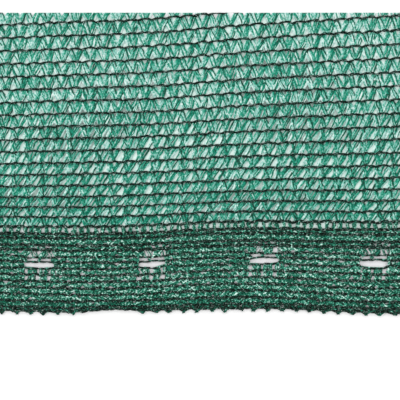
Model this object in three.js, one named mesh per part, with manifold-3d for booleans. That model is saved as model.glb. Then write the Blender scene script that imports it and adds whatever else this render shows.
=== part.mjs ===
// A cut length of knitted shade cloth, lying face up: an open field of flat green tape laced
// between dark chain stitches, and a closer edge band with a row of buttonholes knitted into it.
// Millimetres, +Z up, +X along the chain stitches, +Y from the finished edge into the cloth.
// The origin is on the surface below, at the middle of the cloth's outline.
import * as THREE from "three";
import { mergeVertices } from "three/addons/utils/BufferGeometryUtils.js";
import Module from "manifold-3d";

// Along the chain stitches
const COURSE = 4.5; // one stitch
const COURSES = 64;
const LENGTH = COURSE * COURSES;
const HOLE_PITCH = 16 * COURSE; // from one buttonhole to the next

// Across them. A wale is one row of chain stitches, counted in from the finished edge.
const BAND_WALES = 15;
const EDGE_GAP = 2.2; // the two outermost wales lie close together
const BAND_GAP = 4.2;
const PAIRED_FROM = 8; // from this wale on, the band's wales draw together in pairs
const PAIR_GAP = 3.8;
const PAIR_PULL = 0.2; // how much more each next wale is drawn to its partner
const MOST_PULL = 1.0;
const FIELD_WALES = 19;
const FIELD_GAP = 9.2; // far from the band
const GATHER = 2.75; // how much closer the field's wales are beside the band
const GATHER_WALES = 8.2; // and over how many wales that fades
const CLOTH_DEPTH = 191; // from the finished edge to the straight cut

// Through the cloth
const FIELD_WEB = 1.0; // the laced tape
const BAND_WEB = 1.3;
const CHAIN_RISE = 0.5; // how far a chain stands above the tape
const CHAIN_WIDTH = 1.4;
const CHAIN_HALF = CHAIN_WIDTH / 2;
const PIECE_GAP = 0.3; // between the two solids

// How the cloth lies in its own plane
const FAN = { from: 11, slope: 0.00035 }; // wales slope more, the further in they are
const SWAY = { height: 1.6, length: 190, crest: 25, reach: 210, fade: 83 };
const DROOP = { height: 1.5, reach: 40 }; // the finished edge bows down at its two ends
const SAGS = [ // where the field's wales hang a little towards the band
  { height: 0.6, x: 0, along: 600, from: 60, full: 80 },
  { height: 1.2, x: -36, along: 38, from: 70, full: 140 },
  { height: -1.1, x: -150, along: 45, from: 110, full: 180 },
];

// How it lifts off the surface: a low pucker beside the band, and soft ripples across the field
const PUCKER = { height: 2.4, from: 56, width: 34, length: 150, crest: 30, least: 0.1 };
const RIPPLES = [
  { height: 2.7, x: -70, y: 125, along: 46, across: 30, lean: 0.5 },
  { height: 3.4, x: 52, y: 138, along: 40, across: 34, lean: -0.35 },
];
const RIPPLE_FOOT = 0.25; // the share of a ripple's height that stays flat on the surface

// Buttonholes: an open slot between two wales, which bow apart around it
const HOLE_WALE = 7; // the wale below the slot
const HOLE_LENGTH = 19.5;
const HOLE_CORNER = 1.9;
const BOW_LENGTH = 10; // how far along a wale its bow reaches, to one side
const BOW_FADE = 5; // how far across the cloth the bow fades
const HOLES = [
  { x: -1.5 * HOLE_PITCH, shift: 0.5, height: 4.5, tiltDeg: 0 },
  { x: -0.5 * HOLE_PITCH, shift: 0.9, height: 4.5, tiltDeg: 1 },
  { x: 0.5 * HOLE_PITCH, shift: 0.7, height: 4.7, tiltDeg: 1.5 },
  { x: 1.5 * HOLE_PITCH, shift: -0.5, height: 5.0, tiltDeg: 0 },
];

// How finely the solids follow the cloth
const FIELD_COLUMNS = 24;
const BAND_COLUMNS = 48;
const CORNER_STEPS = 4;

const wasm = await Module();
wasm.setup();

const bell = (t) => Math.exp(-t * t);

// The distance from one wale to the next one in.
function waleGap(wale) {
  if (wale === 0) return EDGE_GAP;
  if (wale < PAIRED_FROM) return BAND_GAP;
  if (wale < BAND_WALES - 1) {
    const pull = Math.min(MOST_PULL, PAIR_PULL * (wale - PAIRED_FROM + 1));
    return PAIR_GAP + (wale % 2 ? pull : -pull);
  }
  const inField = wale - (BAND_WALES - 1);
  return FIELD_GAP - GATHER * Math.exp(-inField / GATHER_WALES);
}

// Where each wale lies, from the outer side of the finished edge.
const WALES = [CHAIN_HALF];
while (WALES.length < BAND_WALES + FIELD_WALES) {
  WALES.push(WALES.at(-1) + waleGap(WALES.length - 1));
}
const BAND_WIDTH = WALES[BAND_WALES - 1] + CHAIN_HALF;
const HOLE_MIDDLE = (WALES[HOLE_WALE] + WALES[HOLE_WALE + 1]) / 2;
const HOLE_SPACE = (WALES[HOLE_WALE + 1] - WALES[HOLE_WALE]) / 2;

// How far the cloth at s from the edge is pushed aside by the buttonholes.
function bow(x, s) {
  const side = Math.sign(s - HOLE_MIDDLE);
  const away = Math.abs(s - HOLE_MIDDLE);
  const near = away < HOLE_SPACE ? away / HOLE_SPACE : Math.exp((HOLE_SPACE - away) / BOW_FADE);
  return HOLES.reduce((sum, hole) => {
    const push = hole.height / 2 + CHAIN_HALF - HOLE_SPACE;
    return sum + side * near * push * bell(((x - hole.x - hole.shift) / BOW_LENGTH) ** 2);
  }, 0);
}

// Where the cloth at x, and at s from its edge, lies across the surface.
function across(x, s) {
  const fan = FAN.slope * Math.max(0, s - FAN.from) * x;
  const wave = Math.cos((2 * Math.PI * (x - SWAY.crest)) / SWAY.length);
  const sway = SWAY.height * wave * bell(x / SWAY.reach) * bell(s / SWAY.fade);
  const droop = DROOP.height * (x / (LENGTH / 2)) ** 2 * Math.max(0, 1 - s / DROOP.reach);
  const sag = SAGS.reduce((sum, { height, x: middle, along, from, full }) => {
    return sum + height * bell((x - middle) / along) * THREE.MathUtils.smoothstep(s, from, full);
  }, 0);
  return s + fan + sway - droop - sag + bow(x, s);
}

// The height of the cloth's underside over the surface. It never goes below it.
function lift(x, y) {
  const inPucker = THREE.MathUtils.clamp((y - PUCKER.from) / PUCKER.width, 0, 1);
  const swell = (1 + Math.cos((2 * Math.PI * (x - PUCKER.crest)) / PUCKER.length)) / 2;
  const pucker = PUCKER.height * Math.sin(Math.PI * inPucker) ** 2 * Math.max(swell, PUCKER.least);
  return RIPPLES.reduce((highest, ripple) => {
    const dx = x - ripple.x;
    const dy = y - ripple.y - ripple.lean * dx;
    const shape = bell(dx / ripple.along) * bell(dy / ripple.across);
    return Math.max(highest, ripple.height * (shape - RIPPLE_FOOT));
  }, pucker);
}

// Rows of points across the field: flat tape, with a narrow ridge at each chain.
function fieldRows() {
  const rows = [{ s: BAND_WIDTH + PIECE_GAP, rise: 0 }];
  for (const s of WALES.slice(BAND_WALES)) {
    rows.push({ s: s - CHAIN_HALF, rise: 0 }, { s, rise: CHAIN_RISE }, { s: s + CHAIN_HALF, rise: 0 });
  }
  return rows;
}

// Rows of points across the band, where the chains lie so close that they make one rib each.
function bandRows() {
  const rows = [{ s: 0, rise: 0 }];
  for (let wale = 0; wale < BAND_WALES; wale++) {
    const next = wale === BAND_WALES - 1 ? BAND_WIDTH : (WALES[wale] + WALES[wale + 1]) / 2;
    rows.push({ s: WALES[wale], rise: CHAIN_RISE }, { s: next, rise: 0 });
  }
  return rows;
}

// A sheet of cloth as one closed body: a flat box of columns and rows, each point of which is
// moved to where the cloth lies.
function sheet(rows, columns, web) {
  const box = new THREE.BoxGeometry(1, 1, 1, columns, rows.length - 1, 1);
  const position = box.getAttribute("position");
  for (let i = 0; i < position.count; i++) {
    const x = position.getX(i) * LENGTH;
    const row = rows[Math.round((position.getY(i) + 0.5) * (rows.length - 1))];
    const y = across(x, row.s);
    const thickness = position.getZ(i) > 0 ? web + row.rise : 0;
    position.setXYZ(i, x, y, lift(x, y) + thickness);
  }
  return box;
}

// A geometry as a solid that can be cut, and back.
function solidOf(geometry) {
  const bare = geometry.clone();
  bare.deleteAttribute("normal");
  bare.deleteAttribute("uv");
  const merged = mergeVertices(bare);
  return new wasm.Manifold(
    new wasm.Mesh({
      numProp: 3,
      vertProperties: new Float32Array(merged.getAttribute("position").array),
      triVerts: new Uint32Array(merged.index.array),
    }),
  );
}

function geometryOf(solid) {
  const { vertProperties, triVerts } = solid.getMesh();
  const geometry = new THREE.BufferGeometry();
  geometry.setAttribute("position", new THREE.BufferAttribute(vertProperties, 3));
  geometry.setIndex(new THREE.BufferAttribute(triVerts, 1));
  geometry.computeVertexNormals();
  return geometry;
}

// The room that a buttonhole takes, right through the band.
function slot({ x, shift, height, tiltDeg }) {
  const endX = HOLE_LENGTH / 2 - HOLE_CORNER;
  const endY = height / 2 - HOLE_CORNER;
  const outline = new THREE.Shape();
  outline.absarc(endX, -endY, HOLE_CORNER, -Math.PI / 2, 0);
  outline.absarc(endX, endY, HOLE_CORNER, 0, Math.PI / 2);
  outline.absarc(-endX, endY, HOLE_CORNER, Math.PI / 2, Math.PI);
  outline.absarc(-endX, -endY, HOLE_CORNER, Math.PI, (3 * Math.PI) / 2);
  const depth = 3 * (BAND_WEB + CHAIN_RISE);
  const room = new THREE.ExtrudeGeometry(outline, {
    depth,
    bevelEnabled: false,
    curveSegments: CORNER_STEPS,
  });
  const middle = x + shift;
  room.translate(0, 0, -depth / 3);
  room.rotateZ(THREE.MathUtils.degToRad(tiltDeg));
  room.translate(middle, across(middle, HOLE_MIDDLE), 0);
  return room;
}

// The open field, cut straight on the side away from the band.
function fieldGeometry() {
  const whole = solidOf(sheet(fieldRows(), FIELD_COLUMNS, FIELD_WEB));
  const kept = new THREE.BoxGeometry(2 * LENGTH, CLOTH_DEPTH, CLOTH_DEPTH);
  kept.translate(0, CLOTH_DEPTH / 2, 0);
  return geometryOf(whole.intersect(solidOf(kept)));
}

// The closer band along the finished edge, with its buttonholes.
function bandGeometry() {
  const whole = solidOf(sheet(bandRows(), BAND_COLUMNS, BAND_WEB));
  return geometryOf(HOLES.reduce((solid, hole) => solid.subtract(solidOf(slot(hole))), whole));
}

const openTape = new THREE.MeshStandardMaterial({ color: 0x4f9a85, roughness: 0.45 });
const closeKnit = new THREE.MeshStandardMaterial({ color: 0x2c5d50, roughness: 0.5 });

const field = new THREE.Mesh(fieldGeometry(), openTape);
field.name = "knitted_field";
const band = new THREE.Mesh(bandGeometry(), closeKnit);
band.name = "edge_band";

const cloth = new THREE.Group();
cloth.add(field, band);
cloth.position.y = -new THREE.Box3().setFromObject(cloth).getCenter(new THREE.Vector3()).y;

export default cloth;
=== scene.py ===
# %% [markdown]
# # Knitted shade cloth
#
# Shade cloth comes off a warp knitting machine. Every needle makes a chain of stitches along
# the cloth, called a wale, and flat plastic tape is laced to and fro between the wales. This
# lesson builds a cut length of it, yarn by yarn: dark chains, green tape, and a closer band
# along the finished edge with a row of buttonholes.
#
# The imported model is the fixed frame. It gives the cloth's place and size, and every yarn is
# laid where its solids are.

# %% Load the frame
import math
import random

import bmesh
import bpy
import numpy as np
from mathutils import Matrix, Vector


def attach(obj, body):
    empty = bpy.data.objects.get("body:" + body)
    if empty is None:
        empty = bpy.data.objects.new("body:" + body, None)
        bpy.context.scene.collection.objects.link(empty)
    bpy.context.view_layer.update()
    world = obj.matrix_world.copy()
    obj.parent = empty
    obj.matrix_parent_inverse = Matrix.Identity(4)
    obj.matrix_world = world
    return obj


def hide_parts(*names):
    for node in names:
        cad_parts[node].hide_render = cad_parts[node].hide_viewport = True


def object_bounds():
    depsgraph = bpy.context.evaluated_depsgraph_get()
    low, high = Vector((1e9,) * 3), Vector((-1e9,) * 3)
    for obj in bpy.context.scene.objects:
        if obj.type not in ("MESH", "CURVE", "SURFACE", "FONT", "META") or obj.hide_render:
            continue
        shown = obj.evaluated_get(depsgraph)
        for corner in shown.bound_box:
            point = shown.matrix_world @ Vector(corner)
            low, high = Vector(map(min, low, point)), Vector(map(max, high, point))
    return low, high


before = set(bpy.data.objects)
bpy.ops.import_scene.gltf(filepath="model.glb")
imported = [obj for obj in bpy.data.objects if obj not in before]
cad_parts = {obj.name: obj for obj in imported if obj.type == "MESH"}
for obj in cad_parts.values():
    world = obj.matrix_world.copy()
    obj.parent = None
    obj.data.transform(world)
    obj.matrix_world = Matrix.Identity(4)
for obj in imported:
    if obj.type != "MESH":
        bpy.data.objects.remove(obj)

cad_low, cad_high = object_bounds()
print("CAD box, mm:", [round(1000 * (b - a), 1) for a, b in zip(cad_low, cad_high)])

# %% [markdown]
# ## The knit laid out flat
#
# The yarns could be placed straight in space, but a knit is much easier to describe flat, as a
# knitter charts it: x runs along the wales, s across them from the finished edge, and h up from
# the underside, all in millimetres. At the end each mesh is moved onto the cloth's real lie.
#
# One stitch is a course. Needles stand at an even pitch, every needle works in the edge band
# and every other one in the field, so the wales of the field are twice as far apart.

# %% Sizes of the knit, in millimetres
MM = 0.001
COURSE = 4.5
LENGTH = 1000 * (cad_high.x - cad_low.x)
CLOTH_DEPTH = 191  # from the finished edge to the straight cut

BAND_WALES = 15
FIELD_WALES = 19
LAST_BAND_WALE = BAND_WALES - 1
CHAIN_WIDTH = 1.4
EDGE_GAP = 2.2  # the two outermost wales lie close together
BAND_GAP = 4.2
PAIRED_FROM = 8  # from this wale on, the band's wales draw together in pairs
PAIR_GAP = 3.8
PAIR_PULL = 0.2  # how much more each next wale is drawn to its partner
MOST_PULL = 1.0
FIELD_GAP = 9.2  # far from the band
GATHER = 2.75  # how much closer the field's wales are beside the band
GATHER_WALES = 8.2  # and over how many wales that fades


def wale_gap(wale):
    """The distance from one wale to the next one in."""
    if wale == 0:
        return EDGE_GAP
    if wale < PAIRED_FROM:
        return BAND_GAP
    if wale < LAST_BAND_WALE:
        pull = min(MOST_PULL, PAIR_PULL * (wale - PAIRED_FROM + 1))
        return PAIR_GAP + (pull if wale % 2 else -pull)
    return FIELD_GAP - GATHER * math.exp(-(wale - LAST_BAND_WALE) / GATHER_WALES)


WALES = [CHAIN_WIDTH / 2]
while len(WALES) < BAND_WALES + FIELD_WALES:
    WALES.append(WALES[-1] + wale_gap(len(WALES) - 1))
print("wales:", len(WALES), "band width, mm:", round(WALES[LAST_BAND_WALE], 1))

# %% [markdown]
# ## Round the buttonholes
#
# A buttonhole is a stretch where two neighbouring wales aren't laced together, so they bow
# apart round an open slot. The wales beyond are pushed aside less and less. Each slot has its
# own ends, some pinched to a point and some drawn up. The slots are a little narrower here than
# in the solids, whose openings need some room.

# %% The buttonholes' pull on the cloth
HOLE_PITCH = 16 * COURSE
HOLE_WALE = 7  # the wale below the slot
HOLE_MIDDLE = (WALES[HOLE_WALE] + WALES[HOLE_WALE + 1]) / 2
HOLE_SPACE = (WALES[HOLE_WALE + 1] - WALES[HOLE_WALE]) / 2
BOW_LENGTH = 10  # how far along a wale its bow reaches, to one side
BOW_FADE = 5  # how far across the cloth the bow fades
TIP = {"at": 10.5, "length": 3.6, "fade": 2.0}  # the ends of a buttonhole, from its middle
HOLES = [
    # pinch: how much its left and right ends narrow; rise: how far they lie above its middle
    {"x": -1.5 * HOLE_PITCH + 0.5, "height": 3.3, "pinch": (0.5, 1.2), "rise": (0.3, 0.2)},
    {"x": -0.5 * HOLE_PITCH + 0.9, "height": 3.3, "pinch": (1.0, 1.4), "rise": (0.2, 1.2)},
    {"x": 0.5 * HOLE_PITCH + 0.7, "height": 3.3, "pinch": (1.0, 1.1), "rise": (-0.5, 0.8)},
    {"x": 1.5 * HOLE_PITCH - 0.5, "height": 4.4, "pinch": (1.2, 1.2), "rise": (1.0, 0.9)},
]
CLOSED_WALE = {"wale": 9, "drop": 1.2, "reach": 2.2}  # it lies closer to the buttonhole


def bell(t):
    return np.exp(-t * t)


def bow(x, s):
    """How far the cloth is pushed aside by the buttonholes."""
    side = np.sign(s - HOLE_MIDDLE)
    away = np.abs(s - HOLE_MIDDLE)
    inside = np.minimum(away / HOLE_SPACE, 1)
    beyond = np.maximum(away - HOLE_SPACE, 0)
    near = side * inside * np.exp(-beyond / BOW_FADE)
    close = inside * np.exp(-beyond / TIP["fade"])
    dropped = CLOSED_WALE["drop"] * bell((s - WALES[CLOSED_WALE["wale"]]) / CLOSED_WALE["reach"])
    pushed = 0
    for hole in HOLES:
        push = hole["height"] / 2 + CHAIN_WIDTH / 2 - HOLE_SPACE
        pushed += (near * push - dropped) * bell(((x - hole["x"]) / BOW_LENGTH) ** 2)
        for end, pinch, rise in zip((-1, 1), hole["pinch"], hole["rise"]):
            tip = bell((x - hole["x"] - end * TIP["at"]) / TIP["length"])
            pushed += (rise - side * pinch) * close * tip
    return pushed


print("buttonholes at x, mm:", [round(hole["x"], 1) for hole in HOLES])

# %% [markdown]
# ## How the cloth lies
#
# The cloth isn't quite straight. Its wales fan out a little, sway from side to side and sag,
# and its finished edge is drawn in at one place. The solids of the frame follow the same few
# formulas, without the dents of the edge and the pinched ends, so the yarns stay on them.

# %% The lie of the cloth in its own plane
FAN = {"from": 11, "slope": 0.00035}  # wales slope more, the further in they are
SWAY = {"height": 1.6, "length": 190, "crest": 25, "reach": 210, "fade": 83}
DROOP = {"height": 1.5, "reach": 40}  # the finished edge bows down at its two ends
DENT_REACH = 12  # how far from the edge a dent has faded
DENTS = [  # where the finished edge is drawn in, and where it stands out a little
    {"height": 1.7, "x": -61, "along": 17},
    {"height": -0.8, "x": 14, "along": 26},
]
SAGS = [  # where the field's wales hang a little towards the band
    {"height": 0.6, "x": 0, "along": 600, "from": 60, "full": 80},
    {"height": 1.2, "x": -36, "along": 38, "from": 70, "full": 140},
    {"height": -1.1, "x": -150, "along": 45, "from": 110, "full": 180},
]


def smooth(t):
    t = np.clip(t, 0, 1)
    return t * t * (3 - 2 * t)


def across(x, s):
    """Where the cloth at x, and at s from its edge, lies across the surface."""
    fan = FAN["slope"] * np.maximum(0, s - FAN["from"]) * x
    wave = np.cos(2 * np.pi * (x - SWAY["crest"]) / SWAY["length"])
    sway = SWAY["height"] * wave * bell(x / SWAY["reach"]) * bell(s / SWAY["fade"])
    droop = DROOP["height"] * (2 * x / LENGTH) ** 2 * np.maximum(0, 1 - s / DROOP["reach"])
    dent = sum(
        dent["height"] * bell((x - dent["x"]) / dent["along"]) * np.maximum(0, 1 - s / DENT_REACH)
        for dent in DENTS
    )
    sag = sum(
        sag["height"]
        * bell((x - sag["x"]) / sag["along"])
        * smooth((s - sag["from"]) / (sag["full"] - sag["from"]))
        for sag in SAGS
    )
    return s + fan + sway - droop + dent - sag + bow(x, s)


# %% [markdown]
# Off the surface it rises in a low pucker beside the band and in soft ripples across the
# field. Everywhere else the surface presses the yarns up and flat, so none goes through it.

# %% The lie of the cloth over the surface
PUCKER = {"height": 2.4, "from": 56, "width": 34, "length": 150, "crest": 30, "least": 0.1}
RIPPLES = [
    {"height": 2.7, "x": -70, "y": 125, "along": 46, "across": 30, "lean": 0.5},
    {"height": 3.4, "x": 52, "y": 138, "along": 40, "across": 34, "lean": -0.35},
]
RIPPLE_FOOT = 0.25  # the share of a ripple's height that stays flat on the surface
PRESS = 0.3  # below this height the surface presses a yarn flat


def lift(x, y):
    """The height of the cloth's underside over the surface."""
    along = np.clip((y - PUCKER["from"]) / PUCKER["width"], 0, 1)
    swell = (1 + np.cos(2 * np.pi * (x - PUCKER["crest"]) / PUCKER["length"])) / 2
    swell = np.maximum(swell, PUCKER["least"])
    highest = PUCKER["height"] * np.sin(np.pi * along) ** 2 * swell
    for ripple in RIPPLES:
        dx = x - ripple["x"]
        dy = y - ripple["y"] - ripple["lean"] * dx
        shape = bell(dx / ripple["along"]) * bell(dy / ripple["across"])
        highest = np.maximum(highest, ripple["height"] * (shape - RIPPLE_FOOT))
    return highest


def pressed(h):
    """A height that nears the surface below, but never reaches it."""
    return np.where(h > PRESS, h, PRESS * np.exp(np.minimum(h - PRESS, 0) / PRESS))


CUT_Y = cad_high.y  # the straight cut, in metres


def lay(mesh):
    """Moves a mesh from the flat chart, in millimetres, onto the cloth's lie, in metres."""
    flat = np.empty(3 * len(mesh.vertices))
    mesh.vertices.foreach_get("co", flat)
    x, s, h = flat.reshape(-1, 3).T
    y = across(x, s)
    z = lift(x, y) + pressed(h)
    laid = np.column_stack([MM * x, CUT_Y + MM * (y - CLOTH_DEPTH), MM * z])
    mesh.vertices.foreach_set("co", laid.ravel())
    mesh.update()


# %% [markdown]
# ## From path to yarn
#
# A yarn could be a skinned row of vertices, a Geometry Nodes sweep or a curve with a bevel.
# The curve is the plainest: its points are the path, a small closed curve is the yarn's cross
# section, and each point's radius and tilt narrow and turn it. With the twist method Z up a
# flat tape stays flat, as it does in the cloth.

# %% A cross section
def section(name, outline):
    """A small closed curve, in millimetres, for a curve's bevel."""
    curve = bpy.data.curves.new(name, "CURVE")
    curve.dimensions = "2D"
    spline = curve.splines.new("POLY")
    spline.points.add(len(outline) - 1)
    for point, (across_mm, up_mm) in zip(spline.points, outline):
        point.co = (across_mm, up_mm, 0, 1)
    spline.use_cyclic_u = True
    piece = bpy.data.objects.new(name, curve)
    bpy.context.scene.collection.objects.link(piece)
    return piece


# %% [markdown]
# The sweep gives the mesh a UV map: u runs along the path and v round the section. It is
# rewritten so that u counts the laps of the tape, or the courses of a chain, because the
# colours of the tape change from one lap to the next.

# %% A sweep along many paths
def count_along(mesh, ring, paths):
    """Rewrites the UV map: u is the count at each ring of the sweep, v stays as it is."""
    caps = 2 * ring * len(paths)  # the vertices of the end caps come first
    counts = [count for marks, _ in paths for count in marks]
    at_vertex = np.concatenate([np.zeros(caps), np.repeat(counts, ring)])
    corner = np.empty(len(mesh.loops), np.int32)
    mesh.loops.foreach_get("vertex_index", corner)
    uv = np.empty(2 * len(mesh.loops))
    mesh.uv_layers[0].data.foreach_get("uv", uv)
    uv = uv.reshape(-1, 2)
    uv[:, 0] = at_vertex[corner]
    mesh.uv_layers[0].name = "yarn"
    mesh.uv_layers[0].data.foreach_set("uv", uv.ravel())


def sweep(name, outline, paths):
    """One mesh of yarns. Each path is (counts, points), a point (x, s, h, radius, tilt)."""
    profile = section(name + "_section", outline)
    curve = bpy.data.curves.new(name, "CURVE")
    curve.dimensions = "3D"
    curve.twist_mode = "Z_UP"
    curve.bevel_mode = "OBJECT"
    curve.bevel_object = profile
    curve.use_fill_caps = True
    for _, points in paths:
        spline = curve.splines.new("POLY")
        spline.points.add(len(points) - 1)
        spline.points.foreach_set("co", [c for x, s, h, _, _ in points for c in (x, s, h, 1)])
        spline.points.foreach_set("radius", [point[3] for point in points])
        spline.points.foreach_set("tilt", [point[4] for point in points])
    swept = bpy.data.objects.new(name + "_path", curve)
    bpy.context.scene.collection.objects.link(swept)
    graph = bpy.context.evaluated_depsgraph_get()
    mesh = bpy.data.meshes.new_from_object(swept.evaluated_get(graph))
    mesh.name = name
    count_along(mesh, len(outline), paths)
    bpy.data.objects.remove(swept)
    bpy.data.objects.remove(profile)
    return mesh


# %% [markdown]
# ## Trimming
#
# A cut length is cut with shears, straight through every yarn. The yarns therefore run past
# the three cut sides, and bisect_plane takes off what is outside. Before it the doubles
# between a yarn and its end caps are merged, and after it the holes of the cuts are filled.

# %% Cut a mesh of yarns to the length and depth of the cloth
CUTS = [
    ((cad_low.x, 0, 0), (-1, 0, 0)),
    ((cad_high.x, 0, 0), (1, 0, 0)),
    ((0, cad_high.y, 0), (0, 1, 0)),
]
WELD = 1e-8  # points closer than this, in metres, are one
SHARP = math.radians(40)


def trim(mesh):
    bm = bmesh.new()
    bm.from_mesh(mesh)
    bmesh.ops.remove_doubles(bm, verts=bm.verts, dist=WELD)
    for place, outward in CUTS:
        whole = bm.verts[:] + bm.edges[:] + bm.faces[:]
        bmesh.ops.bisect_plane(
            bm, geom=whole, dist=WELD, plane_co=place, plane_no=outward, clear_outer=True
        )
        rim = [edge for edge in bm.edges if edge.is_boundary]
        bmesh.ops.holes_fill(bm, edges=rim, sides=0)
    loose = [edge for edge in bm.edges if edge.is_wire]
    bmesh.ops.delete(bm, geom=loose, context="EDGES")
    open_edges = sum(edge.is_boundary for edge in bm.edges)
    bm.to_mesh(mesh)
    bm.free()
    mesh.shade_smooth()
    mesh.set_sharp_from_angle(angle=SHARP)
    mesh.calc_loop_triangles()
    print(mesh.name, "triangles:", len(mesh.loop_triangles), "open edges:", open_edges)


# %% Make a finished piece of yarns
def make_yarns(name, outline, paths, material):
    mesh = sweep(name, outline, paths)
    lay(mesh)
    trim(mesh)
    mesh.materials.clear()
    mesh.materials.append(material)
    piece = bpy.data.objects.new(name, mesh)
    bpy.context.scene.collection.objects.link(piece)
    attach(piece, "root")
    return piece


# %% [markdown]
# ## Materials
#
# Both yarns are high density polyethylene, with an index of refraction of 1.54. The tape is
# slit film, so thin that it creases into bright and dark streaks along its length, and the
# chain is a black thread. One function turns a web colour into Blender's linear one, and one
# adds a node with its settings and links.

# %% Colour and node helpers
def linear(hex_colour):
    """An sRGB hex colour as linear red, green, blue and alpha."""
    channels = [int(hex_colour[i : i + 2], 16) / 255 for i in (1, 3, 5)]
    return [c / 12.92 if c <= 0.04045 else ((c + 0.055) / 1.055) ** 2.4 for c in channels] + [1]


def add(tree, kind, settings=None, **inputs):
    """A node with its settings, and its inputs either set or linked from other sockets."""
    node = tree.nodes.new(kind)
    for key, value in (settings or {}).items():
        setattr(node, key, value)
    for key, value in inputs.items():
        socket = node.inputs[int(key[1:])] if key[0] == "_" else node.inputs[key.replace("_", " ")]
        if isinstance(value, bpy.types.NodeSocket):
            tree.links.new(value, socket)
        else:
            socket.default_value = value
    return node


def set_stops(ramp, stops):
    """Gives a colour ramp its (position, hex colour) stops."""
    elements = ramp.color_ramp.elements
    while len(elements) < len(stops):
        elements.new(0.5)
    for element, (position, colour) in zip(elements, stops):
        element.position = position
        element.color = linear(colour)


def new_material(name):
    material = bpy.data.materials.new(name)
    material.use_nodes = True
    material.node_tree.nodes.clear()
    return material, material.node_tree


POLYETHYLENE_IOR = 1.54

# %% [markdown]
# ### Green slit-film tape
#
# Slit polyethylene film, glossy and a little see-through, so over a pale floor its single
# layers look mint and its folds deep green. A picture could carry that, but the marks below
# do it anywhere on the tape. The whole part of u counts laps. It jumps from strand to strand
# and from row to row, so every lap has a number of its own, and each kind of lap has one too.

# %% What the tape's marks tell
ROW_MARK = 2000.0  # how far the count jumps from one row to the next
STRAND_MARK = 200.0  # and from one strand to the next
MODULO = {"operation": "FLOORED_MODULO"}
MULTIPLY_ADD = {"operation": "MULTIPLY_ADD"}


def tape_marks(tree):
    """The count of laps, the place round the strand, the lap, whether it climbs, its kind."""
    uv = add(tree, "ShaderNodeUVMap", {"uv_map": "yarn"}).outputs["UV"]
    parts = add(tree, "ShaderNodeSeparateXYZ", _0=uv)
    count, around = parts.outputs["X"], parts.outputs["Y"]
    lap = add(tree, "ShaderNodeMath", {"operation": "FLOOR"}, _0=count).outputs[0]
    climbing = add(tree, "ShaderNodeMath", MODULO, _0=lap, _1=2.0).outputs[0]
    in_row = add(tree, "ShaderNodeMath", MODULO, _0=lap, _1=ROW_MARK).outputs[0]
    snap = {"operation": "SNAP"}
    strand = add(tree, "ShaderNodeMath", snap, _0=in_row, _1=STRAND_MARK).outputs[0]
    kind = add(tree, "ShaderNodeMath", {"operation": "ADD"}, _0=climbing, _1=strand).outputs[0]
    return count, around, lap, climbing, kind


# %% [markdown]
# Some rows are darker than others. At the finished edge and next to the band the tape is
# crowded together. The narrow rows between two wales that draw together get painted shade, as
# their tape lies low between the chains. The falling laps are a little darker too, except far
# from the band.

# %% How dark a row is
PAIRS_SHADE = (8, 12)  # the rows between which the narrow ones get more painted shade
FALLING_SHADE = (21, 26)  # the rows between which the falling laps get lighter
FALLING_DARK = 0.05
IS_LESS = {"operation": "LESS_THAN"}


def row_shade(tree, count, climbing, looks):
    """How far a row is moved along the colour ramp, which is down where it is below 0."""
    *crowded_rows, darkness = looks["dark_rows"]
    shades = []
    for (first_row, last_row), before, after in (
        (crowded_rows, -darkness, 0.0),
        (PAIRS_SHADE, 0.0, -looks["narrow_painted_shade"]),
        (FALLING_SHADE, -FALLING_DARK, 0.0),
    ):
        shade = add(
            tree,
            "ShaderNodeMapRange",
            Value=count,
            From_Min=ROW_MARK * first_row,
            From_Max=ROW_MARK * last_row,
            To_Min=before,
            To_Max=after,
        )
        shades.append(shade.outputs[0])
    crowded, narrow_shade, falling_shade = shades
    # The narrow rows get painted shade, for their tape lies low between the chains.
    in_pair = add(tree, "ShaderNodeMath", MODULO, _0=count, _1=2 * ROW_MARK).outputs[0]
    narrow = add(tree, "ShaderNodeMath", IS_LESS, _0=in_pair, _1=ROW_MARK).outputs[0]
    falling = add(tree, "ShaderNodeMath", IS_LESS, _0=climbing, _1=0.5).outputs[0]
    darkened = crowded
    for chosen, shade in ((narrow, narrow_shade), (falling, falling_shade)):
        darkened = add(
            tree, "ShaderNodeMath", MULTIPLY_ADD, _0=chosen, _1=shade, _2=darkened
        ).outputs[0]
    return darkened


# %% [markdown]
# The rest is chance. Every lap has its own tone, and every kind of lap a steady one, which
# keeps the pattern. Streaks run along the tape: noise that is stretched along u and tight
# round v, which paints the bright and dark streaks that light makes on its creases, along with
# the folds where the film lies double. Painted glints, specks of light, break them up, and the
# tape is darkest where a chain grips it, from bunched film and painted shade under the chain.

# %% Light and dark along the tape
PAINTED_GLINT_SIZE = 1.2 * MM  # the size of one painted glint on a crease, drawn as coarse as it has to be to show
STREAK_SCALE = (2.2, 3.5, 1.0)  # along, in laps, and round the strand
GRIP_SHADE = (0.05, 0.55)  # from a turn on, in laps
MIDDLE = 0.5  # what the noises vary around
EDGE_TO_RIDGE = 0.25  # the share of the way round a strand from its edge to its ridge


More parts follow.
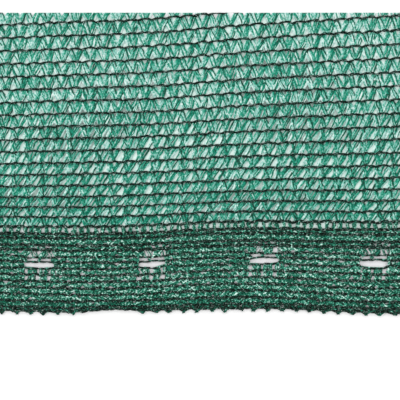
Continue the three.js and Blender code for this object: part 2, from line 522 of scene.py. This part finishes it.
def tape_level(tree, looks):
    """A place on the colour ramp, and the streaks alone."""
    count, around, lap, climbing, kind = tape_marks(tree)
    own_tone = add(tree, "ShaderNodeTexWhiteNoise", {"noise_dimensions": "1D"}, W=lap)
    steady_tone = add(tree, "ShaderNodeTexWhiteNoise", {"noise_dimensions": "1D"}, W=kind)
    streak_at = add(tree, "ShaderNodeCombineXYZ", X=count, Y=around).outputs[0]
    stretched = add(tree, "ShaderNodeMapping", Vector=streak_at, Scale=STREAK_SCALE).outputs[0]
    # The streaks are partly painted light and shade of the creases, partly film lying double.
    streak = add(tree, "ShaderNodeTexNoise", Vector=stretched, Detail=2.0, Scale=1.0).outputs["Fac"]
    place = add(tree, "ShaderNodeTexCoord").outputs["Object"]
    # Painted glints: specks of light on the creases of the film.
    painted_glint = add(tree, "ShaderNodeTexNoise", Vector=place, Scale=1 / PAINTED_GLINT_SIZE, Detail=1.0).outputs["Fac"]
    to_and_fro = {"operation": "PINGPONG"}
    from_edge = add(tree, "ShaderNodeMath", to_and_fro, _0=around, _1=EDGE_TO_RIDGE).outputs[0]
    from_turn = add(tree, "ShaderNodeMath", to_and_fro, _0=count, _1=1.0).outputs[0]
    # Darker where a chain grips the tape: bunched film, and painted shade under the chain.
    gripped = add(
        tree,
        "ShaderNodeMapRange",
        {"interpolation_type": "SMOOTHSTEP"},
        Value=from_turn,
        From_Min=GRIP_SHADE[0],
        From_Max=GRIP_SHADE[1],
        To_Min=looks["level"] - looks["grip_fold_and_shade"],
        To_Max=looks["level"],
    ).outputs[0]
    shade = row_shade(tree, count, climbing, looks)
    level = add(tree, "ShaderNodeMath", {"operation": "ADD"}, _0=gripped, _1=shade).outputs[0]
    for value, middle, weight in (
        (painted_glint, MIDDLE, looks["painted_glint"]),
        (own_tone.outputs["Value"], MIDDLE, looks["own_tone"]),
        (steady_tone.outputs["Value"], MIDDLE, looks["steady_tone"]),
        (streak, MIDDLE, looks["streak"]),
        (from_edge, EDGE_TO_RIDGE / 2, -looks["edge"] / EDGE_TO_RIDGE),
    ):
        centred = add(tree, "ShaderNodeMath", {"operation": "SUBTRACT"}, _0=value, _1=middle)
        level = add(
            tree, "ShaderNodeMath", MULTIPLY_ADD, _0=centred.outputs[0], _1=weight, _2=level
        ).outputs[0]
    return level, streak


# %% [markdown]
# A film's gloss varies with its creases, so the streaks also make its roughness and a fine
# relief. The gloss is kept low, because on real film it is spread over many tiny creases.

# %% Tape material
STREAK_RANGE = (0.3, 0.7)  # nearly all of the streaks' noise lies in it
FILM_ROUGHNESS = (0.25, 0.5)
FILM_GLOSS = 0.15
FILM_RELIEF = 0.15 * MM


def tape_material(name, stops, looks):
    material, tree = new_material(name)
    level, streak = tape_level(tree, looks)
    colour = add(tree, "ShaderNodeValToRGB", _0=level)
    set_stops(colour, stops)
    rough = add(
        tree,
        "ShaderNodeMapRange",
        Value=streak,
        From_Min=STREAK_RANGE[0],
        From_Max=STREAK_RANGE[1],
        To_Min=FILM_ROUGHNESS[0],
        To_Max=FILM_ROUGHNESS[1],
    ).outputs[0]
    bump = add(tree, "ShaderNodeBump", Strength=0.6, Distance=FILM_RELIEF, Height=streak)
    shader = add(
        tree,
        "ShaderNodeBsdfPrincipled",
        Base_Color=colour.outputs["Color"],
        Roughness=rough,
        IOR=POLYETHYLENE_IOR,
        Specular_IOR_Level=FILM_GLOSS,
        Normal=bump.outputs["Normal"],
    )
    add(tree, "ShaderNodeOutputMaterial", Surface=shader.outputs["BSDF"])
    return material


# %% [markdown]
# Three films share it. Folded film is deep green with painted pale glints, single film is mint,
# and the film that is crowded into the band is dark, partly from its layers and partly from
# painted shade, with painted glints of light on its creases. Each has the stops of its colour
# ramp, and looks that say how far it moves along them and why.

# %% The three films
DEEP_STOPS = [
    (0.05, "#013f2f"),
    (0.27, "#00755d"),
    (0.45, "#129477"),
    (0.65, "#82bfb3"),
    (0.9, "#cfe4de"),
]
DEEP_LOOKS = {
    "level": 0.47,  # its place on the ramp, from 0 to 1
    "grip_fold_and_shade": 0.2,  # how much darker it is where a chain grips it: bunched film and painted shade
    "painted_glint": 0.9,  # how strongly painted glints, laps, kinds of lap and streaks vary it
    "own_tone": 0.3,
    "steady_tone": 0.45,
    "streak": 0.9,
    "edge": 0.05,  # how much paler the edges of a strand are
    "dark_rows": (LAST_BAND_WALE - 1, LAST_BAND_WALE + 11, 0.1),  # from, to, how much darker
    "narrow_painted_shade": 0.0,  # how much painted shade darkens the narrow rows
}
MINT_STOPS = [
    (0.1, "#00654f"),
    (0.3, "#25987c"),
    (0.5, "#7bbaad"),
    (0.7, "#b5d9d1"),
    (0.9, "#d6e8e3"),
]
MINT_LOOKS = {
    "level": 0.73,
    "grip_fold_and_shade": 0.2,
    "painted_glint": 0.8,
    "own_tone": 0.2,
    "steady_tone": 0.2,
    "streak": 0.8,
    "edge": 0.05,
    "dark_rows": (LAST_BAND_WALE - 1, LAST_BAND_WALE + 11, 0.15),
    "narrow_painted_shade": 0.0,
}
# Dark from crowded layers and painted shade. The pale top stop is painted glints.
BAND_STOPS = [
    (0.15, "#012219"),
    (0.42, "#004735"),
    (0.62, "#0a6f56"),
    (0.8, "#4da28a"),
    (1.0, "#c9e6dd"),
]
BAND_LOOKS = {
    "level": 0.67,
    "grip_fold_and_shade": 0.05,
    "painted_glint": 1.7,
    "own_tone": 0.25,
    "steady_tone": 0.2,
    "streak": 0.7,
    "edge": 0.2,
    "dark_rows": (0.5, 2.0, 0.3),
    "narrow_painted_shade": 0.04,
}
deep_film = tape_material("folded_slit_film_deep_green", DEEP_STOPS, DEEP_LOOKS)
mint_film = tape_material("single_slit_film_mint_green", MINT_STOPS, MINT_LOOKS)
band_film = tape_material("crowded_dark_green_film_with_painted_shade", BAND_STOPS, BAND_LOOKS)
print("tape materials:", deep_film.name, mint_film.name, band_film.name)

# %% [markdown]
# ### Black chain thread
#
# A black polyethylene thread. It has a soft shine, and fine dust and wear, with painted glints
# on its fibres, turn parts of it grey or greenish, so it isn't one flat black. The fibres are
# finer than the render shows, so they are drawn about twice as coarse.

# %% Chain material
WEAR = 2.0 * MM
FIBRE = 0.8 * MM
WEAR_SHARE = 0.4  # of the wear in the colour. The fibres, with their painted glints, have the rest.
THREAD_GLOSS = 0.08
THREAD_RELIEF = 0.1 * MM
# The pale stops are dust and wear, and painted glints on the fibres.
CHAIN_STOPS = [(0.4, "#010a07"), (0.5, "#05170f"), (0.57, "#334f45"), (0.64, "#94a39d")]


def chain_material():
    material, tree = new_material("black_polyethylene_thread")
    place = add(tree, "ShaderNodeTexCoord").outputs["Object"]
    wear = add(tree, "ShaderNodeTexNoise", Vector=place, Scale=1 / WEAR, Detail=3.0, Roughness=0.6)
    fibre_relief_and_glint = add(tree, "ShaderNodeTexNoise", Vector=place, Scale=1 / FIBRE, Detail=2.0, Roughness=0.5)
    wear, fibre_relief_and_glint = wear.outputs["Fac"], fibre_relief_and_glint.outputs["Fac"]
    times = {"operation": "MULTIPLY"}
    worn = add(tree, "ShaderNodeMath", times, _0=wear, _1=WEAR_SHARE).outputs[0]
    level = add(tree, "ShaderNodeMath", MULTIPLY_ADD, _0=fibre_relief_and_glint, _1=1 - WEAR_SHARE, _2=worn).outputs[0]
    colour = add(tree, "ShaderNodeValToRGB", _0=level)
    set_stops(colour, CHAIN_STOPS)
    bump = add(tree, "ShaderNodeBump", Strength=0.4, Distance=THREAD_RELIEF, Height=fibre_relief_and_glint)
    shader = add(
        tree,
        "ShaderNodeBsdfPrincipled",
        Base_Color=colour.outputs["Color"],
        Roughness=0.5,
        IOR=POLYETHYLENE_IOR,
        Specular_IOR_Level=THREAD_GLOSS,
        Normal=bump.outputs["Normal"],
    )
    add(tree, "ShaderNodeOutputMaterial", Surface=shader.outputs["BSDF"])
    return material


chain_black = chain_material()
print("chain material:", chain_black.name)

# %% [markdown]
# ## Where the laps turn
#
# The tape goes to a wale at every course, first to the upper one and then to the lower one, so
# two courses make one zigzag. A lap that goes down falls, one that goes up climbs. Nearer the
# band the cloth was pulled askew, so there the zigzag leans.

# %% Turns of the tape
FIRST_TURN = 1.2  # x of a turn on an upper wale
REPEAT = 2 * COURSE
CUT_SPARE = 9  # how far the yarns run past the cuts before they are trimmed
COURSES_EACH_WAY = 2 * round((LENGTH / 2 + CUT_SPARE) / REPEAT)
STEPPED_ROWS = (4, 5, 6, 9, 13)  # rows of the band whose laps keep in step with the field
PICOT_TURN = 3.4  # x of a turn that stands out past the finished edge
LEAN = {"most": 2.6, "from": 55, "full": 63, "ease": 108, "none": 140}  # by distance from the edge
STARTS_SEED = 5
start_dice = random.Random(STARTS_SEED)
BAND_STARTS = [start_dice.uniform(-COURSE, COURSE) for _ in range(LAST_BAND_WALE)]


def lean(s):
    """How far the turns on a lower wale are shifted back along the cloth."""
    grow = smooth((s - LEAN["from"]) / (LEAN["full"] - LEAN["from"]))
    fade = 1 - smooth((s - LEAN["ease"]) / (LEAN["none"] - LEAN["ease"]))
    return LEAN["most"] * grow * fade


def askew(row):
    """How unlike the falling and climbing laps of a row are, from 0 to 1."""
    return lean((WALES[row] + WALES[row + 1]) / 2) / LEAN["most"]


def row_start(row):
    """x of a turn on the upper wale of a row. Most rows of the band aren't in step."""
    if row == 0:
        return PICOT_TURN - COURSE
    if row in STEPPED_ROWS or row >= LAST_BAND_WALE:
        return FIRST_TURN
    return FIRST_TURN + BAND_STARTS[row]


leaning_rows = sum(askew(row) > 0.5 for row in range(len(WALES) - 1))
print("courses:", 2 * COURSES_EACH_WAY, "rows that lean:", leaning_rows)

# %% [markdown]
# The tape pulls each chain down where it hangs on it from below, and up where it hangs on it
# from above, which gives the chains their scallops. Beside a buttonhole there is no tape to
# pull them, so they run slim and smooth. Two pairs of wales near the top of the band lie
# closest of all, and their chains are squeezed fuller, into two dark lines.

# %% Scallops of the chains
FIELD_PULL = 0.42  # how far a chain is pulled aside, in the field
ASKEW_PULL = 0.35  # and where the zigzag leans
BAND_PULL = 0.3
SLOT_WALES = (7, 8, 9)  # no tape pulls these along a buttonhole
SLIM = 0.3  # how much thinner they are there
FULL_WALES = (10, 11, 12, 13)  # the closest pairs, whose chains are fuller
FULL = 1.2


def scallop(wale, x):
    """How far the chain lies from its straight line at x."""
    leaning = lean(WALES[wale])
    field_pull = FIELD_PULL + (ASKEW_PULL - FIELD_PULL) * leaning / LEAN["most"]
    pull = field_pull if wale >= LAST_BAND_WALE else BAND_PULL
    crest = (COURSE - leaning) / REPEAT
    phase = ((x - FIRST_TURN) / REPEAT) % 1.0
    to_crest = phase / crest if phase < crest else (1 - phase) / (1 - crest)
    return pull * (2 * math.sin(math.pi / 2 * to_crest) - 1)


def beside_hole(x):
    """1 along a buttonhole, and 0 away from it."""
    return sum(bell(((x - hole["x"]) / BOW_LENGTH) ** 4) for hole in HOLES)


# %% [markdown]
# ## Chains
#
# A chain stitch is a loop that goes up one side, over the head and down the other side, then
# runs along the back to the next stitch, whose loop comes up through the head of the last one.
# The chart below is one stitch, and every wale repeats it. No two stitches are drawn equally
# tight, so each has its own fatness and strays a little, and dips where tape is caught in it.

# %% One chain stitch, charted
CHAIN_STITCH = [
    # share of a course along, share of the half width aside, height
    (0.05, -0.25, 0.60),
    (0.30, -0.90, 1.00),
    (0.65, -0.95, 1.22),
    (0.98, -0.45, 1.24),
    (1.08, 0.20, 1.16),
    (0.92, 0.80, 1.24),
    (0.60, 0.95, 1.22),
    (0.28, 0.85, 1.00),
    (0.05, 0.25, 0.60),
    (0.50, 0.00, 0.30),
]
THREAD_SIDES = 5
THREAD_SECTION = [
    (math.cos(2 * math.pi * i / THREAD_SIDES), math.sin(2 * math.pi * i / THREAD_SIDES))
    for i in range(THREAD_SIDES)
]
# The thread's radius, half the width of a stitch, and how far it is raised and dives.
FIELD_CHAIN = {"thread": 0.35, "aside": 0.42, "rise": 0.0, "dive": 0.2}
BAND_CHAIN = {"thread": 0.46, "aside": 0.5, "rise": 0.3, "dive": 0.5}
DIVE_LENGTH = 0.8
CAUGHT = (0.1, 1.0, 1.0)  # one stitch in three hardly dives
UNEVEN_START = 0.4
UNEVEN_LINE = 0.18
UNEVEN_STITCH = (0.75, 1.3)
UNEVEN_THREAD = (0.9, 1.1)


def chain_path(wale, knit, dice):
    """A wale of stitches, which dives a little wherever a tape is caught in it."""
    courses, points = [], []
    for course in range(-COURSES_EACH_WAY, COURSES_EACH_WAY + 1):
        start = course * COURSE + dice.uniform(-UNEVEN_START, UNEVEN_START)
        wander = dice.gauss(0, UNEVEN_LINE)
        fat = dice.uniform(*UNEVEN_STITCH)
        dive = knit["dive"] * dice.choice(CAUGHT)
        for along, side, height in CHAIN_STITCH:
            x = start + along * COURSE
            free = beside_hole(x) if wale in SLOT_WALES else 0
            slim = (1 - SLIM * free) * (FULL if wale in FULL_WALES else 1)
            pulled = scallop(wale, x) * (1 - free) + wander
            s = WALES[wale] + pulled + side * knit["aside"] * fat * slim
            from_turn = (x - row_start(wale) + COURSE / 2) % COURSE - COURSE / 2
            h = height + knit["rise"] - dive * bell(from_turn / DIVE_LENGTH)
            thick = knit["thread"] * slim * dice.uniform(*UNEVEN_THREAD)
            points.append((x, s, h, thick, 0.0))
            courses.append(course + along)
    return courses, points


# %% Chains of the field and the band
def chains(name, wales, knit, seed):
    dice = random.Random(seed)
    paths = [chain_path(wale, knit, dice) for wale in wales]
    return make_yarns(name, THREAD_SECTION, paths, chain_black)


field_chain = chains("field_chain", range(BAND_WALES, len(WALES)), FIELD_CHAIN, seed=11)
band_chain = chains("band_chain", range(BAND_WALES), BAND_CHAIN, seed=12)

# %% [markdown]
# ## Laps of tape
#
# A row is the space between two wales, and its tape is a string of laps. A lap knows where it
# starts and ends along the cloth, how far its strands are spread, and where a slot opens
# between them. Chance is seeded, so the cloth is the same each time.

# %% The laps from turn to turn, all along a row
STRAY = 0.32  # how unevenly the turns are spaced
SLOT_PLACE = (1.5, 0.4)  # where a climbing lap's strands part, from its middle: mean, deviation
SLOT_OPEN = (0.0, 1.1)  # how far they draw aside
UNEVEN_SPREAD = (0.7, 1.05)


def regular_laps(row, dice):
    turns = []
    for course in range(-COURSES_EACH_WAY, COURSES_EACH_WAY + 1):
        back = LEAN["most"] * askew(row) * (course % 2)
        turns.append(row_start(row) + course * COURSE + dice.gauss(0, STRAY) - back)
    laps = []
    for start, end in zip(turns, turns[1:]):
        spread = dice.uniform(*UNEVEN_SPREAD)
        slot = (dice.gauss(*SLOT_PLACE), dice.uniform(*SLOT_OPEN))
        lap = {"start": start, "end": end, "spread": spread, "slot": slot}
        laps.append({**lap, "thin": 1.0, "upright": False})
    return laps


# %% [markdown]
# The rows beside a buttonhole are laced thinly, with a few upright laps and gaps between
# them. Row 7 is the slot itself, so its tape stops there. One more row, the last of the band,
# has a square gap at every course.

# %% Rows with gaps, charted
OPEN_ROWS = {
    # from the buttonhole's middle, how far it leans, how far its strands are spread (None where
    # the slot parts the row), and how thin they are
    10: [(-7.6, 2.0, 1.4, 1), (0.9, 2.0, 1.4, 0.7), (9.9, 2.0, 1.4, 0.7)],
    9: [
        (-8.9, 2.2, 0.8, 1),
        (-3.6, 2.2, 1.2, 0.35),
        (2.4, 2.2, 0.7, 1),
        (7.9, 2.2, 1.2, 0.35),
        (13.0, 2.2, 0.8, 1),
    ],
    8: [(-10.2, 0.3, 0.7, 1), (-0.9, 0.5, 0.1, 1), (10.2, 0.3, 0.7, 1)],
    7: [(-11.8, 0.0, 0.7, 1), (0.0, 0.0, None, 1), (11.6, 0.0, 0.7, 1)],
    6: [(-12.2, 0.0, 0.95, 1), (-4.7, 0.0, 0.95, 1), (2.8, 0.0, 0.95, 1), (10.4, 0.0, 0.95, 1)],
    5: [(-12.2, 0.2, 0.85, 1), (-4.7, 0.2, 0.85, 1), (2.8, 0.2, 0.85, 1), (10.4, 0.2, 0.85, 1)],
}
OPEN_MARGIN = 2.2  # how far past these laps the regular ones start
OPEN_STRAY = 0.25  # how unevenly these laps are placed
SQUARE_ROW = 13
SQUARE_SHIFT = -0.75  # how far its laps lie from the turns
SQUARE_LEAN = 0.8
SQUARE_SPREAD = 0.25


def upright_lap(x, leans, spread, thin=1.0):
    ends = {"start": x - leans / 2, "end": x + leans / 2}
    return {**ends, "spread": spread, "thin": thin, "upright": True}


# %% All laps of a row
def open_up(laps, beside, dice):
    """Puts the charted laps in place of those near a buttonhole, and parts the row at its slot."""
    stretches = [[]]
    for hole in HOLES if beside else []:
        low = hole["x"] + beside[0][0] - OPEN_MARGIN
        high = hole["x"] + beside[-1][0] + OPEN_MARGIN
        stretches[-1] += [lap for lap in laps if (lap["start"] + lap["end"]) / 2 < low]
        laps = [lap for lap in laps if (lap["start"] + lap["end"]) / 2 > high]
        for at, leans, spread, thin in beside:
            if spread is None:
                stretches.append([])
            else:
                x = hole["x"] + at + dice.gauss(0, OPEN_STRAY)
                stretches[-1].append(upright_lap(x, leans, spread, thin))
    stretches[-1] += laps
    return stretches


def row_laps(row, dice):
    """The laps of a row, in stretches that the buttonholes part."""
    laps = regular_laps(row, dice)
    if row == SQUARE_ROW:
        middles = [(lap["start"] + lap["end"]) / 2 - COURSE / 2 + SQUARE_SHIFT for lap in laps]
        laps = [upright_lap(x, SQUARE_LEAN, SQUARE_SPREAD) for x in middles]
    stretches = open_up(laps, OPEN_ROWS.get(row, []), dice)
    count = 0
    for stretch in stretches:
        for lap in stretch:
            lap["count"] = count
            lap["falls"] = count % 2 == 0
            count += 1
    return stretches


# %% [markdown]
# ## Strands of tape
#
# The film is slit so thin that it folds lengthwise into strands, which lie close together
# where a chain grips them and spread between two wales. Each strand is a low roof in section.
# Where the cloth lies straight the strands fan evenly. Where it was pulled askew the falling
# laps are bunched, and the climbing ones lie side by side with a pale slot between them.

# %% Where a strand's lap starts and ends
FAN_HALF = 4.5  # half the length of chain that a climbing lap's strands share in an askew row
UPRIGHT_STRAY = 0.4  # the share of its stray that a strand keeps in an upright lap
CLIMB_RUN = 1.4  # how far a strand runs along the chain before a climbing lap in an askew row
CALM = 0.35  # how much less the strands stray where the field isn't askew
BUNCHED = 0.55  # the share of its place aside that a strand keeps in a falling lap


def crossing(row, lap, number, knit, dice):
    """Two places along the wales, and how far a slot draws the strand aside between them."""
    unlike = askew(row)
    calm = 1 - CALM * (1 - unlike) if row >= LAST_BAND_WALE else 1
    run = dice.uniform(*knit["run"])
    stray = dice.gauss(0, knit["stray"] * calm)
    place = knit["shifts"][number] * lap["spread"]
    if lap["upright"]:
        aside = place + UPRIGHT_STRAY * stray
        return lap["start"] + aside, lap["end"] + aside, 0
    aside = place + stray
    start = lap["start"] + run + aside
    end = lap["end"] - run + aside
    drawn = 0
    if lap["falls"]:
        leaned = (lap["start"] + BUNCHED * aside, lap["end"] + BUNCHED * aside)
    else:
        fan = knit["fan"][number]
        slot, opening = lap["slot"]
        drawn = math.copysign(opening, fan - slot) * (1 - abs(fan) / FAN_HALF)
        leaned = (lap["start"] + CLIMB_RUN + fan + stray, lap["end"] - CLIMB_RUN + fan + stray)
    return start + unlike * (leaned[0] - start), end + unlike * (leaned[1] - end), unlike * drawn


# %% [markdown]
# Along the finished edge the tape of the outermost row turns past the last chain, in a row of
# small loops called picots. The strands meet there in a bead. Where the edge is drawn in, no
# picots stand out.

# %% Picots
PICOT = (1.2, 2.6)  # how far past the outermost chain the tape turns
PICOT_GATHER = 0.3  # the share of their spread that the strands keep there
PLAIN_EDGE = (-78, -44)  # where the edge is drawn in


def picot_turn(lap, x0, x1, dice, out):
    """The lap's ends, gathered to its lower turn, and how far that turn stands out."""
    turn = lap["end"] if lap["falls"] else lap["start"]
    stands_out = 0
    if not PLAIN_EDGE[0] < turn < PLAIN_EDGE[1]:
        stands_out = out.setdefault(lap["count"] // 2, dice.uniform(*PICOT))
    if lap["falls"]:
        return x0, turn + PICOT_GATHER * (x1 - turn), stands_out
    return turn + PICOT_GATHER * (x0 - turn), x1, stands_out


# %% [markdown]
# A strand crosses from one wale to the other in four points, narrow and low where a chain
# grips it, and wider, higher and tilted by chance in between. The film spreads less in a lap
# whose strands lie close. At a picot the strand is down at its third point and then goes past.

# %% The path of one strand
STRAND = [(-0.5, 0), (0.08, 0.2), (0.5, 0), (-0.08, -0.12)]  # its section, for a width of 1
LAP_STEPS = (0.0, 0.33, 0.67, 1.0)  # shares of a lap where a strand has a point
PARTED = (0.3, 1.0, 0.5, 0.0)  # how much of a slot is open there
GRIP_INSET = 0.1  # how far short of the chain's middle a strand turns
GRIPPED_WIDTH = 0.6  # the share of its width that a strand has there
WIDENING = 0.42  # and how much that grows by the middle of a lap
LEAST_WIDTH = 0.5  # the share of its width that it has in a lap with no spread
UNEVEN_WIDTH = (0.75, 1.25)
UNEVEN_STEP = (0.8, 1.2)
UNEVEN_TILT = 0.25
COUNT_INSET = 0.02  # keeps the count of a lap clear of the next lap's


def strand_path(row, laps, number, knit, dice):
    mark = ROW_MARK * row + STRAND_MARK * (knit["first"] + number) + STRAND_MARK / 2
    low, high = WALES[row] + GRIP_INSET, WALES[row + 1] - GRIP_INSET
    out = {}
    counts, points = [], []
    for lap in laps:
        x0, x1, drawn = crossing(row, lap, number, knit, dice)
        picot = 0
        if row == 0:
            x0, x1, picot = picot_turn(lap, x0, x1, dice, out)
        bottom_x, top_x = (x1, x0) if lap["falls"] else (x0, x1)
        bottom = low + scallop(row, bottom_x)
        top = high + scallop(row + 1, top_x)
        width = knit["width"] * lap["thin"] * dice.uniform(*UNEVEN_WIDTH)
        width *= min(1, LEAST_WIDTH + lap["spread"])
        tilt = dice.gauss(0, knit["tilt"])
        height = dice.uniform(*knit["height"])
        for t, parted in zip(LAP_STEPS, PARTED):
            open_out = math.sin(math.pi * t)
            down = t if lap["falls"] else 1 - t
            x = x0 + (x1 - x0) * t + dice.gauss(0, knit["waver"]) * open_out + drawn * parted
            s = top + (bottom - top) * down
            h = knit["grip_height"] + (height - knit["grip_height"]) * open_out
            widened = GRIPPED_WIDTH + WIDENING * open_out
            wide = width * widened * dice.uniform(*UNEVEN_STEP)
            twist = (tilt + dice.gauss(0, UNEVEN_TILT)) * open_out
            if picot:
                s = top + (bottom - top) * min(1, down / LAP_STEPS[2]) - picot * (down == 1)
            points.append((x, s, h, wide, twist))
            counts.append(mark + lap["count"] + COUNT_INSET + (1 - 2 * COUNT_INSET) * t)
    return counts, points


def tape_paths(rows, layers, seed):
    """The paths of every layer's strands, over the rows given."""
    dice = random.Random(seed)
    paths = [[] for _ in layers]
    for row in rows:
        for laps in row_laps(row, dice):
            for knit, found in zip(layers, paths):
                for number in range(len(knit["shifts"])):
                    found.append(strand_path(row, laps, number, knit, dice))
    return paths


# %% [markdown]
# ## Tape of the field
#
# The field has two layers: three strands of single film below, wide and pale, and four of
# folded film above, narrow and deep green.

# %% Tape of the field, in two layers
FIELD_BACK = {
    "first": 0,  # the number of its first strand
    "shifts": (-1.8, 0.0, 1.8),  # each strand's place aside, in an even fan
    "fan": (-2.9, 0.0, 2.8),  # and in a climbing lap of an askew row
    "width": 2.0,
    "run": (0.2, 1.2),  # how far a strand runs along the chain before it crosses
    "stray": 0.35,
    "waver": 0.3,
    "tilt": 0.2,
    "height": (0.5, 0.75),
    "grip_height": 0.35,
}
FIELD_FRONT = {
    "first": 4,
    "shifts": (-1.7, -0.55, 0.55, 1.7),
    "fan": (-3.4, -1.9, -0.4, 3.3),
    "width": 1.2,
    "run": (0.1, 1.1),
    "stray": 0.4,
    "waver": 0.3,
    "tilt": 0.2,
    "height": (0.85, 1.25),
    "grip_height": 0.5,
}
FIELD_ROWS = range(LAST_BAND_WALE, len(WALES) - 1)
field_back, field_front = tape_paths(FIELD_ROWS, (FIELD_BACK, FIELD_FRONT), seed=21)
print("strands of the field:", len(field_back), "below and", len(field_front), "above")

# %% Pieces of the field
field_under = make_yarns("field_tape_under", STRAND, field_back, mint_film)
field_over = make_yarns("field_tape_over", STRAND, field_front, deep_film)
for piece in (field_under, field_over, field_chain):
    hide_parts("knitted_field")

# %% [markdown]
# ## Tape of the edge band
#
# Every needle works in the band, so its laps are half as tall and lie so close that they fill
# the rows. The strands tumble over each other, which the larger stray, waver and tilt do.

# %% Tape of the band, in two layers
BAND_BACK = {
    "first": 0,
    "shifts": (-1.3, 1.3),
    "fan": (0, 0),
    "width": 2.3,
    "run": (-1.2, 0.3),
    "stray": 0.5,
    "waver": 0.4,
    "tilt": 0.3,
    "height": (0.5, 0.8),
    "grip_height": 0.5,
}
BAND_FRONT = {
    "first": 4,
    "shifts": (-2.4, -0.8, 0.8, 2.4),
    "fan": (0, 0, 0, 0),
    "width": 1.4,
    "run": (-1.8, 0.0),
    "stray": 0.9,
    "waver": 0.5,
    "tilt": 0.6,
    "height": (0.9, 1.35),
    "grip_height": 1.2,
}
BAND_ROWS = range(LAST_BAND_WALE)
band_back, band_front = tape_paths(BAND_ROWS, (BAND_BACK, BAND_FRONT), seed=31)
print("strands of the band:", len(band_back), "below and", len(band_front), "above")

# %% Pieces of the band
band_under = make_yarns("band_tape_under", STRAND, band_back, band_film)
band_over = make_yarns("band_tape_over", STRAND, band_front, band_film)
for piece in (band_under, band_over, band_chain):
    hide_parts("edge_band")

# %% [markdown]
# ## The flat depths of the band and the field

# %% Sheets
BAND_DEPTH = WALES[LAST_BAND_WALE] + CHAIN_WIDTH / 2
FIELD_DEPTH = CLOTH_DEPTH - BAND_DEPTH
print("flat depths, mm: field", round(FIELD_DEPTH, 1), "band", round(BAND_DEPTH, 1))

# %% [markdown]
# ## Floor, light and camera
#
# The cloth lies on a plain white floor of matt paper, a hair below it so that the two never
# touch. The field's film lets some light through, which tints the paper below it mint, and the
# closer band shades it grey. Letting the light through in the render would be slow and grainy,
# so the paper itself is tinted there.

# %% Floor
FLOOR_SIZE = 3.0
HAIR = 0.1 * MM
PAPER_STOPS = [(0.0, "#f3f3f3"), (0.5, "#e4e4e6"), (1.0, "#def3ec")]  # bare, band and field
TINT_FADE = 4 * MM
EDGE_Y = CUT_Y - MM * CLOTH_DEPTH
FIELD_Y = CUT_Y - MM * FIELD_DEPTH  # where the field begins
TINT_EDGES = [  # a coordinate, where the tint begins and is full along it, and how it begins
    ("Y", FIELD_Y - 2 * TINT_FADE, FIELD_Y, 0.5),
    ("Y", EDGE_Y, EDGE_Y + TINT_FADE, 0.0),
    ("X", -MM * LENGTH / 2, TINT_FADE - MM * LENGTH / 2, 0.0),
    ("X", MM * LENGTH / 2, MM * LENGTH / 2 - TINT_FADE, 0.0),
    ("Y", CUT_Y, CUT_Y - TINT_FADE, 0.0),
]
floor_mesh = bpy.data.meshes.new("floor")
bm = bmesh.new()
bmesh.ops.create_grid(
    bm, x_segments=1, y_segments=1, size=FLOOR_SIZE, matrix=Matrix.Translation((0, 0, -HAIR))
)
bm.to_mesh(floor_mesh)
bm.free()
floor = bpy.data.objects.new("floor", floor_mesh)
bpy.context.scene.collection.objects.link(floor)
floor_white, tree = new_material("white_paper_floor")
place = add(tree, "ShaderNodeTexCoord").outputs["Object"]
parts = add(tree, "ShaderNodeSeparateXYZ", _0=place)
tinted = 1.0
for axis, begins, full, least in TINT_EDGES:
    along = parts.outputs[axis]
    within = add(
        tree, "ShaderNodeMapRange", Value=along, From_Min=begins, From_Max=full, To_Min=least
    ).outputs[0]
    tinted = add(tree, "ShaderNodeMath", {"operation": "MULTIPLY"}, _0=within, _1=tinted).outputs[0]
paper = add(tree, "ShaderNodeValToRGB", _0=tinted)
set_stops(paper, PAPER_STOPS)
shader = add(
    tree, "ShaderNodeBsdfPrincipled", Base_Color=paper.outputs["Color"], Roughness=0.8
)
add(tree, "ShaderNodeOutputMaterial", Surface=shader.outputs["BSDF"])
floor_mesh.materials.append(floor_white)

# %% [markdown]
# The light is even and soft: a white room, and one very wide lamp from the upper left, which
# gives the chains a faint shadow.

# %% Light
ROOM_LIGHT = 0.58
LAMP_LIGHT = 2.45
LAMP_WIDTH = math.radians(130)
LAMP_FROM = (-0.5, 0.6, 1.1)

scene = bpy.context.scene
world = bpy.data.worlds.new("soft_studio")
world.use_nodes = True
world.node_tree.nodes["Background"].inputs["Color"].default_value = linear("#ffffff")
world.node_tree.nodes["Background"].inputs["Strength"].default_value = ROOM_LIGHT
scene.world = world

window = bpy.data.lights.new("window", "SUN")
window.angle = LAMP_WIDTH
window.energy = LAMP_LIGHT
lamp = bpy.data.objects.new("window", window)
lamp.location = LAMP_FROM
lamp.rotation_euler = lamp.location.to_track_quat("Z", "Y").to_euler()
scene.collection.objects.link(lamp)

# %% [markdown]
# The camera looks straight down through a long lens. Its place follows from the photograph:
# how many millimetres one of its pixels shows, and which of its pixels the middle of the cloth
# and the straight cut fall on.

# %% Camera
PHOTO_SIDE = 400
MM_PER_PIXEL = 0.643
MIDDLE_PIXEL = 206.65
CUT_PIXEL = 13
LENS = 135
SENSOR = 36

view_width = PHOTO_SIDE * MM_PER_PIXEL
camera_data = bpy.data.cameras.new("camera")
camera_data.lens = LENS
camera_data.sensor_width = SENSOR
camera = bpy.data.objects.new("camera", camera_data)
camera.location = (
    MM * MM_PER_PIXEL * (PHOTO_SIDE / 2 - MIDDLE_PIXEL),
    CUT_Y - MM * MM_PER_PIXEL * (PHOTO_SIDE / 2 - CUT_PIXEL),
    MM * (view_width * LENS / SENSOR),
)
scene.collection.objects.link(camera)
scene.camera = camera
scene.view_settings.view_transform = "Standard"
print("camera height, m:", round(camera.location.z, 3))
